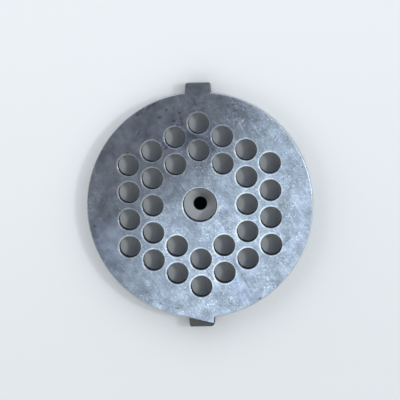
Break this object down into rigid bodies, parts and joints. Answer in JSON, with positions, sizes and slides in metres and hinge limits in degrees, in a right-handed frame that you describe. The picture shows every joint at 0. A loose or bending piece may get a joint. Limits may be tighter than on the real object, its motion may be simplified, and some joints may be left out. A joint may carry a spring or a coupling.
{
  "type": "meat grinder plate",
  "caption": "Flat round perforated steel plate with a plain centre bore and locating lugs on its rim, for the outlet of a household meat mincer.",
  "frame": {"origin": "centre of the bore on the lower face", "axes": "+Z along the bore axis towards the upper face, +Y from the bore to the lug that is ground all over"},
  "size_m": [0.054, 0.0582, 0.005],
  "materials": {
    "ground_steel": "surface ground, fine random scratches, faint stains, darker in the holes"
  },
  "bodies": {
    "root": {"grinder_plate": "ground_steel"}
  },
  "joints": []
}
